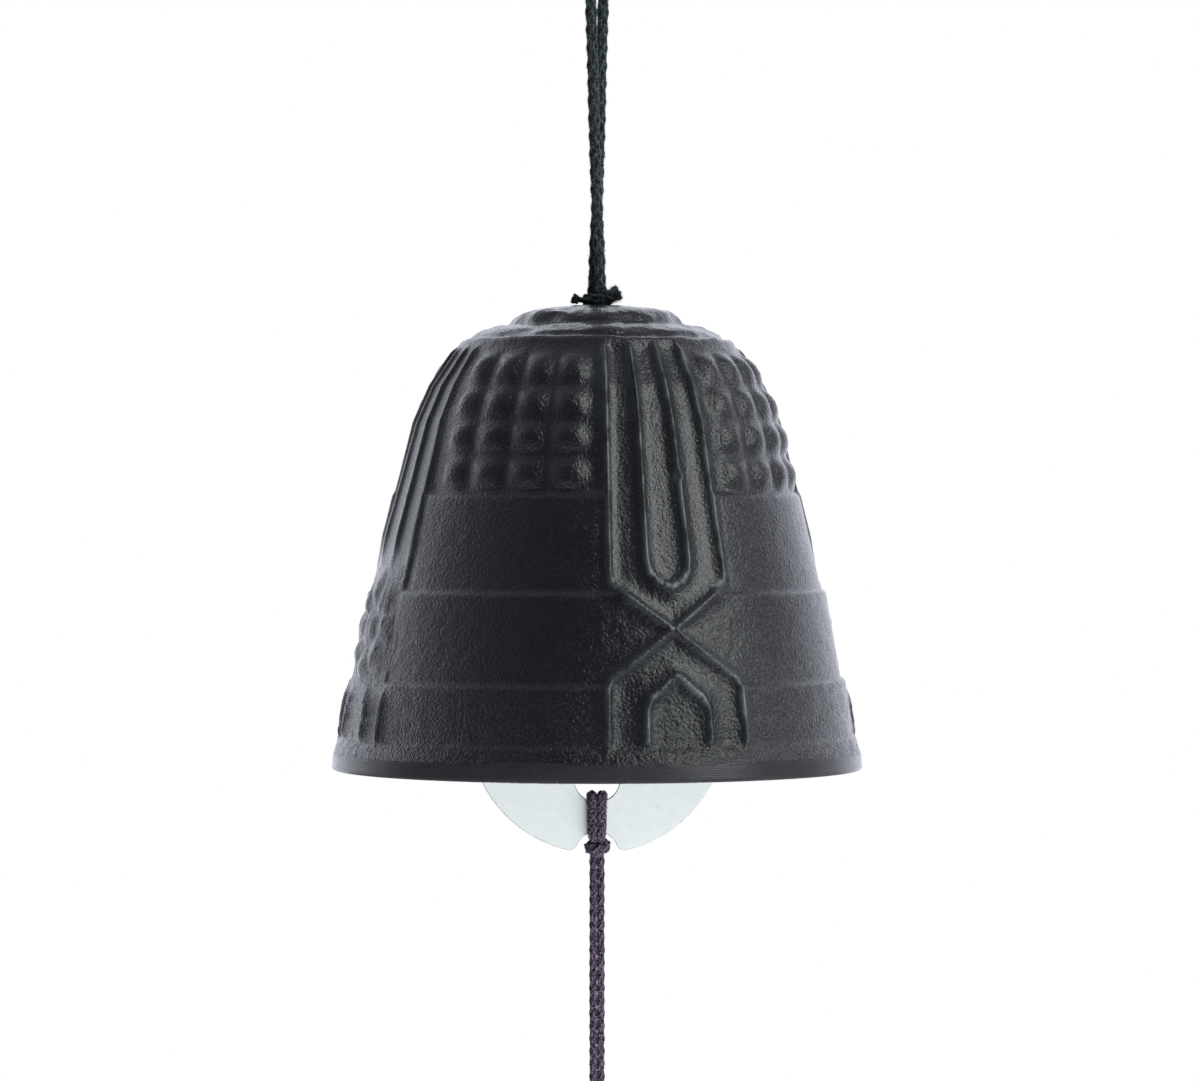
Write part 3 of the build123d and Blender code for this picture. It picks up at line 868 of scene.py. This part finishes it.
# smooth random heights from -1 to 1, closed round the turn
def randomField(rowPlace, turns, cells, chance):
    lattice = chance.uniform(-1, 1, (int(rowPlace.max()) + 2, cells))
    columnPlace = turns * cells / math.tau
    row, column = np.floor(rowPlace).astype(int), np.floor(columnPlace).astype(int)
    rowShare = smoothStep(0, 1, rowPlace - row)[:, None]
    columnShare = smoothStep(0, 1, columnPlace - column)[None, :]
    near, far = column % cells, (column + 1) % cells
    lower, upper = (
        lattice[level][:, near] * (1 - columnShare) + lattice[level][:, far] * columnShare for level in (row, row + 1)
    )
    return lower * (1 - rowShare) + upper * rowShare


def bellMesh(sizes):
    outer = sectionRows(outerSection + innerSection[:1])
    inner = sectionRows(innerSection + outerSection[:1])
    baseR, baseZ = np.array(outer + inner).T
    outside = np.arange(len(baseR)) < len(outer)

    # directions square to the smooth side, for the relief
    skinR, skinZ = np.array(skinSection).T
    levels = np.arange(math.ceil(baseZ.max()) + 1.0)
    lean = np.interp(baseZ, levels, np.gradient(np.interp(levels, skinZ, skinR)))
    normalR, normalZ = 1 / np.hypot(1, lean), -lean / np.hypot(1, lean)
    skinGap = ((np.interp(baseZ, skinZ, skinR) - baseR) * normalR)[:, None]

    # columns of a quarter: close together on the band, wider apart on the field
    reach = sizes["bandReach"]
    stops = sizes["bandSteps"] + [(reach, 0.0)]
    quarter = [
        np.linspace(a, b, round((b - a) / step), endpoint=False) for (a, step), (b, _) in zip(stops, stops[1:])
    ]
    quarter = np.concatenate(quarter + [np.linspace(reach, 90 - reach, sizes["fieldColumns"], endpoint=False)])
    turn, up = np.meshgrid(np.where(quarter > 45, quarter - 90, quarter), baseZ)
    onSide = inZone(sizes["sideZone"], up)
    panelDepth = (np.abs(turn) - sizes["panelEdge"]) * degreeWidth
    panel = sizes["panelStep"] * (smoothStep(*sizes["panelEase"], panelDepth) - 1) * inZone(sizes["panelZone"], up)
    field = panel + bossRise(np.meshgrid(quarter - 45, baseZ)[0], up, sizes)

    columns, heights, sands, wears = [], [], [], []
    for number in range(4):
        columns.append(quarter + 90 * number + sizes["bandTurn"])
        sideBand = number % 2 == 1
        rise, ground, wear = bandRise(turn, up, sizes, sideBand)
        if number == 0:
            # a drop of iron was left on one rib
            drop = sizes["drop"]
            bead = hump(np.hypot((turn - drop["turn"]) * degreeWidth, up - drop["up"]), drop["size"])
            # the drop takes the pale crest colour too: part wear, part painted highlight
            rise, wear = rise + drop["height"] * bead, np.maximum(wear, bead)
        rise, ground = rise * onSide, ground * onSide
        heights.append(field * (1 - ground) + (skinGap - sizes["groundDrop"]) * ground + rise)
        bandSand = sizes["bandSand"]
        if sideBand:
            upper = smoothStep(*sizes["sideSandFrom"], up)
            bandSand = sizes["seatSand"] + (sizes["sideSand"] - sizes["seatSand"]) * upper
        onBand = np.maximum(ground, smoothStep(*sizes["bandSandFrom"], rise))
        sands.append(sizes["panelSand"] + (bandSand - sizes["panelSand"]) * onBand)
        wears.append(wear * onSide)
    turns = np.radians(np.concatenate(columns))
    height, sand, wear = (np.concatenate(parts, axis=1) for parts in (heights, sands, wears))
    height[~outside] = 0
    radius = baseR[:, None] + height * normalR[:, None]
    level = baseZ[:, None] + height * normalZ[:, None]

    # the crown was finished by hand, so its rings wander and its skin is wrinkled
    crown = (inZone(sizes["crownZone"], baseZ) * outside)[:, None]
    ledges = (inZone(sizes["ledgeZone"], baseZ) * outside)[:, None]
    radius = radius + sum(far * np.sin(count * turns + start) for far, count, start in sizes["ledgeWaves"]) * ledges
    along = np.cumsum(np.hypot(np.gradient(baseR), np.gradient(baseZ)))
    chance = np.random.default_rng(sizes["seed"])
    for cell, count, depth in sizes["wrinkles"]:
        level = level + depth * randomField(along / cell, turns, count, chance) * crown

    places = np.stack([radius * np.sin(turns), -radius * np.cos(turns), level + rimZ / mm], axis=-1) * mm
    rowCount, columnCount = radius.shape
    row, column = np.indices(radius.shape)
    nextRow, nextColumn = (row + 1) % rowCount, (column + 1) % columnCount
    corners = [(row, column), (row, nextColumn), (nextRow, nextColumn), (nextRow, column)]
    faces = np.stack([r * columnCount + c for r, c in corners], axis=-1).reshape(-1, 4)
    mesh = bpy.data.meshes.new("bellCasting")
    mesh.from_pydata(places.reshape(-1, 3).tolist(), [], faces.tolist())
    mesh.polygons.foreach_set("use_smooth", np.ones(len(faces), bool))

    # how sandy or turned the skin is, and how much pale crest colour it takes (part wear, part painted highlight)
    wander = sizes["lipWander"] * randomField(np.zeros(1), turns, sizes["lipCells"], chance)
    aboveLip = baseZ[:, None] - sizes["lipHeight"] - wander
    turned = (1 - smoothStep(-sizes["lipEase"], sizes["lipEase"], aboveLip)) * outside[:, None]
    crownShare = smoothStep(*sizes["crownSandFrom"], baseZ)[:, None]
    lowSand = sizes["lowSand"] * (1 - smoothStep(*sizes["lowSandTo"], baseZ))[:, None]
    sand = sand * (1 - crownShare) + sizes["crownSand"] * crownShare + lowSand
    sand = np.where(outside[:, None], sand * (1 - turned), sizes["insideSand"])
    for label, values in (("sand", sand), ("turned", turned), ("wear", wear * outside[:, None])):
        layer = mesh.attributes.new(label, "FLOAT", "POINT")
        layer.data.foreach_set("value", values.ravel().astype(np.float32))
    mesh.update()
    return mesh


# Sand skin: lumps and grains pushed out along the surface, weaker where the casting is smooth
def sandNodes():
    tree, given = startNodes(
        "sandSkin",
        {
            "Casting": "Geometry",
            "Lump Size": "Float",
            "Lump Height": "Float",
            "Grain Size": "Float",
            "Grain Height": "Float",
            "Material": "Material",
        },
    )
    place = addNode(tree, "GeometryNodeInputPosition")
    heights = []
    for name in ("Lump", "Grain"):
        scale = addNode(tree, "ShaderNodeMath", {0: 1.0, 1: given[name + " Size"]}, operation="DIVIDE")
        noise = addNode(tree, "ShaderNodeTexNoise", {"Vector": place, "Scale": scale, "Detail": 1.0})
        middle = addNode(tree, "ShaderNodeMath", {0: noise, 1: 0.5}, operation="SUBTRACT")
        heights.append(
            addNode(tree, "ShaderNodeMath", {0: middle, 1: given[name + " Height"]}, operation="MULTIPLY")
        )
    total = addNode(tree, "ShaderNodeMath", {0: heights[0], 1: heights[1]}, operation="ADD")
    share = addNode(tree, "GeometryNodeInputNamedAttribute", {"Name": "sand"}, data_type="FLOAT")
    height = addNode(tree, "ShaderNodeMath", {0: total, 1: share}, operation="MULTIPLY")
    normal = addNode(tree, "GeometryNodeInputNormal")
    offset = addNode(tree, "ShaderNodeVectorMath", {0: normal, "Scale": height}, operation="SCALE")
    grainy = addNode(tree, "GeometryNodeSetPosition", {"Geometry": given["Casting"], "Offset": offset})
    endNodes(tree, grainy, given["Material"])
    return tree


bellSkin = growMesh(
    "bellCasting",
    newObject("bellBlank", bellMesh(bell)),
    sandNodes(),
    {
        "Lump Size": bell["lumpSize"] * mm,
        "Lump Height": bell["lumpHeight"] * mm,
        "Grain Size": bell["grainSize"] * mm,
        "Grain Height": bell["grainHeight"] * mm,
        "Material": castIron,
    },
)
# the turned lip takes the lighter iron, whose grey is a painted reflection
bellSkin.materials.append(lipIron)
lipShare = bellSkin.attributes["turned"].data
for face in bellSkin.polygons:
    face.material_index = int(lipShare[face.vertices[0]].value > 0.5)
placeMesh("bellCasting", bellSkin, "bell", "black_iron", "bell_casting")
print("bell casting", 2 * len(bellSkin.polygons), "triangles")


# Clapper plate: a disc with a hole and an open notch at the top and bottom, edges eased
plate = {
    "diameter": 32.6,
    "thickness": 1.0,
    "hole": 5.8,
    "holeOffset": 6.9,
    "holeSteps": 56,
    "notch": 5.6,
    "notchDepth": 2.7,
    "notchSteps": 16,
    "corner": 1.0,
    "cornerSteps": 10,
    "rimSteps": 40,
    "ease": 0.12,
}


def plateOutline(sizes):
    radius, notch, corner = sizes["diameter"] / 2, sizes["notch"] / 2, sizes["corner"]
    middle = radius - sizes["notchDepth"] + notch
    # the corner's circle lies inside the disc and outside the notch
    reachRim, reachNotch = radius - corner, notch + corner
    up = (reachRim ** 2 - reachNotch ** 2 + middle ** 2) / (2 * middle)
    over = math.sqrt(reachRim ** 2 - up ** 2)
    rimAngle, notchAngle = math.atan2(over, up), math.atan2(over, up - middle)

    def arc(x, z, r, first, last, steps):
        angles = [first + (last - first) * number / steps for number in range(steps + 1)]
        return [(x + r * math.sin(angle), z + r * math.cos(angle)) for angle in angles]

    quarter = arc(0, middle, notch, math.pi, notchAngle, sizes["notchSteps"])
    quarter += arc(over, up, corner, notchAngle - math.pi, rimAngle, sizes["cornerSteps"])
    quarter += arc(0, 0, radius, rimAngle, math.pi / 2, sizes["rimSteps"])
    points = []
    for sign in (1, -1):
        points += [(sign * x, sign * z) for x, z in quarter]
        points += [(sign * x, -sign * z) for x, z in reversed(quarter)]
    return points


def plateMesh(sizes, middleZ):
    curve = bpy.data.curves.new("clapperPlate", "CURVE")
    curve.dimensions = "2D"
    curve.fill_mode = "BOTH"
    curve.extrude = (sizes["thickness"] / 2 - sizes["ease"]) * mm
    curve.bevel_depth = sizes["ease"] * mm
    curve.bevel_resolution = 2
    curve.offset = -sizes["ease"] * mm
    loops = [plateOutline(sizes)]
    hole = sizes["hole"] / 2
    angles = [math.tau * number / sizes["holeSteps"] for number in range(sizes["holeSteps"])]
    for side in (-1, 1):
        loops.append([(hole * math.sin(a), side * sizes["holeOffset"] + hole * math.cos(a)) for a in angles])
    for loop in loops:
        spline = curve.splines.new("POLY")
        spline.points.add(len(loop) - 1)
        for place, (x, z) in zip(spline.points, loop):
            place.co = (x * mm, z * mm, 0.0, 1.0)
        spline.use_cyclic_u = True
    blank = newObject("clapperPlate", curve)
    mesh = plainMesh(blank)
    bpy.data.objects.remove(blank)
    for vertex in mesh.vertices:
        x, up, out = vertex.co
        vertex.co = (x, -out, up + middleZ)
    mesh.materials.clear()
    mesh.materials.append(plateMetal)
    mesh.materials.append(plateEdge)
    # faces not turned to the front or back take the darker colours: painted shade
    for face in mesh.polygons:
        face.material_index = 0 if abs(face.normal.y) > 0.9 else 1
    return mesh


plateLow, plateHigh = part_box("clapper_plate")
plateDisc = plateMesh(plate, (plateLow.z + plateHigh.z) / 2)
placeMesh("clapperPlate", plateDisc, "clapper", "pale_metal", "clapper_plate")
print("clapper plate made")


# Paper strip: hangs by its hole with a slight bow and curl
strip = {
    "thickness": 0.3,
    "bow": 2.2,
    "bowShare": 0.9,
    "curl": 0.8,
    "across": 20,
    "down": 54,
    "hole": 4.0,
    "holeDrop": 5.0,
    "punch": 8.0,
}


def stripMesh(sizes):
    low, high = (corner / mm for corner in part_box("wind_strip"))
    width, length = high.x - low.x, high.z - low.z
    places, faces = [], []
    for row in range(sizes["down"] + 1):
        down = row / sizes["down"]
        bow = sizes["bow"] * math.sin(math.pi * down * sizes["bowShare"]) * down
        for column in range(sizes["across"] + 1):
            over = 2 * column / sizes["across"] - 1
            curl = sizes["curl"] * over * over * down
            places.append((over * width / 2 * mm, (bow - curl) * mm, (high.z - down * length) * mm))
    step = sizes["across"] + 1
    for row in range(sizes["down"]):
        for column in range(sizes["across"]):
            corner = row * step + column
            faces.append((corner, corner + step, corner + step + 1, corner + 1))
    mesh = bpy.data.meshes.new("windStrip")
    mesh.from_pydata(places, [], faces)
    sheet = newObject("windStrip", mesh)
    thick = sheet.modifiers.new("thickness", "SOLIDIFY")
    thick.thickness = sizes["thickness"] * mm
    thick.offset = 0.0
    bpy.ops.mesh.primitive_cylinder_add(vertices=40, radius=sizes["hole"] / 2 * mm, depth=sizes["punch"] * mm)
    punch = bpy.context.active_object
    punch.data.transform(punch.matrix_world)
    for vertex in punch.data.vertices:
        x, y, z = vertex.co
        vertex.co = (x, -z, y + (high.z - sizes["holeDrop"]) * mm)
    cut = sheet.modifiers.new("hole", "BOOLEAN")
    cut.operation = "DIFFERENCE"
    cut.object = punch
    cut.solver = "EXACT"
    done = plainMesh(sheet)
    bpy.data.objects.remove(sheet)
    bpy.data.objects.remove(punch)
    done.name = "windStrip"
    done.materials.clear()
    done.materials.append(stripPaper)
    return done, width, length


paperMesh, stripWidth, stripLength = stripMesh(strip)
paperPiece = placeMesh("windStrip", paperMesh, "strip", "strip_paper", "wind_strip")
print("paper strip made")

# Studio: white surround behind, a tall soft light from the right, a pale floor well below the strip
studio = {
    "front": 0.022,
    "wings": 0.185,
    "overhead": 0.1,
    "rightLean": -0.12,
    "ambient": 1.1,
    "mirror": 1.5,
    "tint": "#eff2ff",
    "floorColour": "#f6f6f6",
    "floorDrop": 0.45,
    "floorSize": 3.0,
    "floorGlow": 0.75,
    "glowFrom": 0.3,
    "glowTo": 0.95,
}
bellMiddle = (0.0, 0.0, (rimZ + crownZ) / 2)
plateMiddle = (0.0, 0.0, rimZ - 0.004)
# the lights below and overhead only fill the shadows, so the iron doesn't mirror them
softboxes = {
    "keySoftbox": {
        "place": (0.75, -0.54, 0.42), "aim": bellMiddle, "size": (0.5, 1.0),
        "energy": 4.1, "colour": "#fafffa", "mirrored": True,
    },
    "sideSoftbox": {
        "place": (0.95, 0.0, 0.3), "aim": bellMiddle, "size": (0.8, 0.8),
        "energy": 0.1, "colour": "#f8f8ff", "mirrored": True,
    },
    "lowSoftbox": {
        "place": (0.9, -1.1, -0.6), "aim": plateMiddle, "size": (2.2, 0.2),
        "energy": 33.0, "colour": "#fbfdff", "mirrored": False,
    },
    "topSoftbox": {
        "place": (0.2, 0.1, 0.9), "aim": bellMiddle, "size": (1.0, 1.0),
        "energy": 5.8, "colour": "#fbfbff", "mirrored": False,
    },
}


def makeWorld(sizes):
    world = bpy.data.worlds.new("whiteSurround")
    bpy.context.scene.world = world
    world.use_nodes = True
    tree = world.node_tree
    tree.nodes.clear()
    rays = addNode(tree, "ShaderNodeLightPath").outputs
    way = addNode(tree, "ShaderNodeTexCoord").outputs["Generated"]
    parts = addNode(tree, "ShaderNodeSeparateXYZ", {0: way}).outputs
    leans = {0: parts["X"], 1: sizes["rightLean"], 2: parts["Y"]}
    leaning = addNode(tree, "ShaderNodeMath", leans, operation="MULTIPLY_ADD")
    backdrop = addNode(
        tree,
        "ShaderNodeMapRange",
        {"Value": leaning, "From Min": 0.05, "From Max": 0.9, "To Min": 0.0, "To Max": 1.0},
        interpolation_type="SMOOTHSTEP",
    )
    # the backdrop ends above the object, and it is dim overhead
    below = addNode(
        tree,
        "ShaderNodeMapRange",
        {"Value": parts["Z"], "From Min": 0.5, "From Max": 0.88, "To Min": 1.0, "To Max": sizes["overhead"]},
        interpolation_type="SMOOTHSTEP",
    )
    wings = addNode(
        tree,
        "ShaderNodeMapRange",
        {"Value": leaning, "From Min": -1.0, "From Max": 0.1, "To Min": sizes["front"], "To Max": sizes["wings"]},
        interpolation_type="SMOOTHSTEP",
    )
    behind = addNode(tree, "ShaderNodeMath", {0: backdrop, 1: below, 2: wings}, operation="MULTIPLY_ADD")
    soft = addNode(tree, "ShaderNodeMath", {0: behind, 1: sizes["ambient"]}, operation="MULTIPLY")
    bright = addNode(tree, "ShaderNodeMath", {0: behind, 1: sizes["mirror"]}, operation="MULTIPLY")
    mirror = addNode(
        tree, "ShaderNodeMath", {0: rays["Is Glossy Ray"], 1: rays["Is Transmission Ray"]}, operation="MAXIMUM"
    )
    seen = addNode(tree, "ShaderNodeMix", {0: mirror, 2: soft, 3: bright}, data_type="FLOAT")
    strength = addNode(tree, "ShaderNodeMix", {0: rays["Is Camera Ray"], 2: seen, 3: 1.0}, data_type="FLOAT")
    tints = {0: rays["Is Camera Ray"], 6: hexColour(sizes["tint"]), 7: hexColour("#ffffff")}
    tint = addNode(tree, "ShaderNodeMix", tints, data_type="RGBA")
    background = addNode(tree, "ShaderNodeBackground", {"Color": tint.outputs[2], "Strength": strength})
    addNode(tree, "ShaderNodeOutputWorld", {"Surface": background})


def addSoftbox(name, sizes):
    lamp = bpy.data.lights.new(name, "AREA")
    lamp.shape = "RECTANGLE"
    lamp.size, lamp.size_y = sizes["size"]
    lamp.energy = sizes["energy"]
    lamp.color = hexColour(sizes["colour"])[:3]
    box = newObject(name, lamp)
    box.location = sizes["place"]
    box.rotation_euler = (Vector(sizes["aim"]) - Vector(sizes["place"])).to_track_quat("-Z", "Y").to_euler()
    box.visible_glossy = sizes["mirrored"]
    return box


def makeFloor(sizes):
    half = sizes["floorSize"] / 2
    mesh = bpy.data.meshes.new("paleFloor")
    mesh.from_pydata([(-half, -half, 0), (half, -half, 0), (half, half, 0), (-half, half, 0)], [], [(0, 1, 2, 3)])
    material, tree, coords = startMaterial("paleFloorPaint")
    paint = addNode(
        tree, "ShaderNodeBsdfPrincipled", {"Base Color": hexColour(sizes["floorColour"]), "Roughness": 0.9}
    )
    white = addNode(tree, "ShaderNodeEmission", {"Color": hexColour("#ffffff"), "Strength": 1.0})
    # towards its edge the floor goes over into the white surround
    reach = addNode(tree, "ShaderNodeVectorMath", {0: coords}, operation="LENGTH").outputs["Value"]
    ends = {"From Min": sizes["glowFrom"] * half, "From Max": sizes["glowTo"] * half}
    glow = addNode(
        tree,
        "ShaderNodeMapRange",
        {"Value": reach, **ends, "To Min": sizes["floorGlow"], "To Max": 1.0},
        interpolation_type="SMOOTHSTEP",
    )
    seen = addNode(tree, "ShaderNodeLightPath").outputs["Is Camera Ray"]
    share = addNode(tree, "ShaderNodeMath", {0: seen, 1: glow}, operation="MULTIPLY")
    shader = addNode(tree, "ShaderNodeMixShader", {0: share, 1: paint, 2: white})
    addNode(tree, "ShaderNodeOutputMaterial", {"Surface": shader})
    mesh.materials.append(material)
    floor = newObject("paleFloor", mesh)
    floor.location.z = cadLow.z - sizes["floorDrop"]
    return floor


makeWorld(studio)
boxes = {name: addSoftbox(name, sizes) for name, sizes in softboxes.items()}
# a flag keeps the low light off the floor
flag = bpy.data.collections.new("lowLightFlag")
flag.objects.link(makeFloor(studio))
flag.collection_objects[0].light_linking.link_state = "EXCLUDE"
boxes["lowSoftbox"].light_linking.receiver_collection = flag

# Camera level with the upper half of the bell, straight in front
view = {
    "distance": 0.59,
    "aboveRim": 33.0,
    "lens": 139.8,
    "sensor": 36.0,
    "frameWidth": 1200,
    "frameHeight": 1081,
    "horizonRow": 508.0,
    "axisColumn": 597.0,
}
cameraData = bpy.data.cameras.new("photoCamera")
cameraData.lens = view["lens"]
cameraData.sensor_width = view["sensor"]
cameraData.shift_y = (view["horizonRow"] - view["frameHeight"] / 2) / view["frameWidth"]
cameraData.shift_x = (view["frameWidth"] / 2 - view["axisColumn"]) / view["frameWidth"]
camera = newObject("photoCamera", cameraData)
camera.location = (0.0, -view["distance"], rimZ + view["aboveRim"] * mm)
camera.rotation_euler = (math.pi / 2, 0.0, 0.0)
bpy.context.scene.camera = camera
bpy.context.scene.view_settings.view_transform = "Standard"

print("scene ready")
